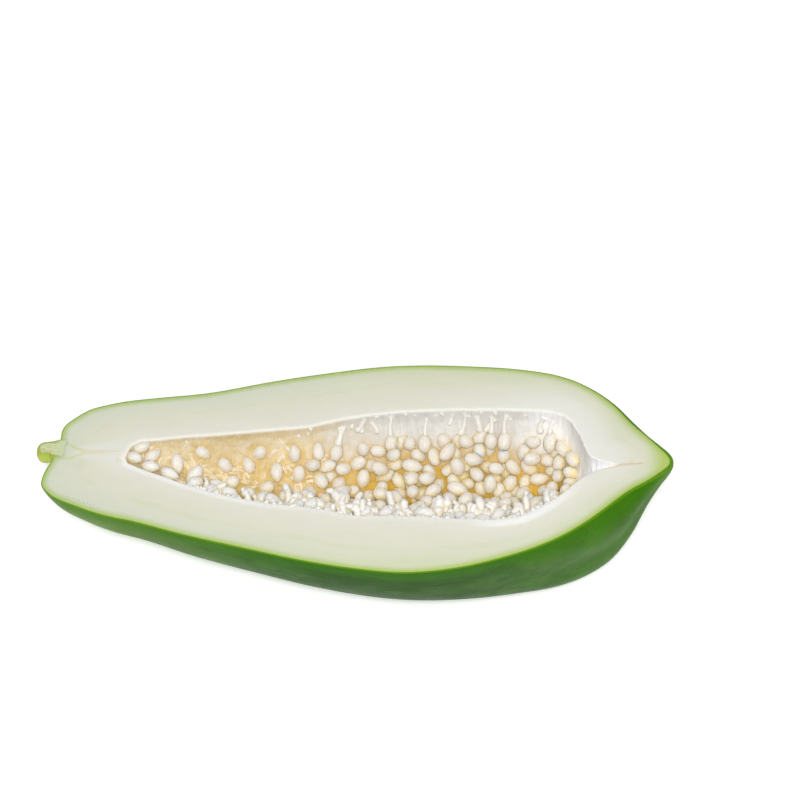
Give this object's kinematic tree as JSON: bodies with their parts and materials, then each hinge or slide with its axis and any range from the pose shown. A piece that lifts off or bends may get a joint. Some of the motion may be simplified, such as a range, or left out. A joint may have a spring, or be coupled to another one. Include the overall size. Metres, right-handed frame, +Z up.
{
  "type": "papaya half",
  "caption": "Half of a green papaya cut lengthways, with thick pale flesh, an open seed cavity lined with white seeds, and a short stalk stub.",
  "frame": {"origin": "on the surface the half rests on, under the middle of its length and width", "axes": "+X from the stalk to the blossom tip, +Y across the fruit, +Z up out of the cut face"},
  "size_m": [0.2592, 0.108, 0.058],
  "materials": {
    "flesh_and_skin": "satin",
    "stalk": "matte",
    "seeds": "matte"
  },
  "bodies": {
    "root": {"fruit_half": "flesh_and_skin", "stalk_stub": "stalk", "seeds_on_placenta": "seeds"}
  },
  "joints": []
}
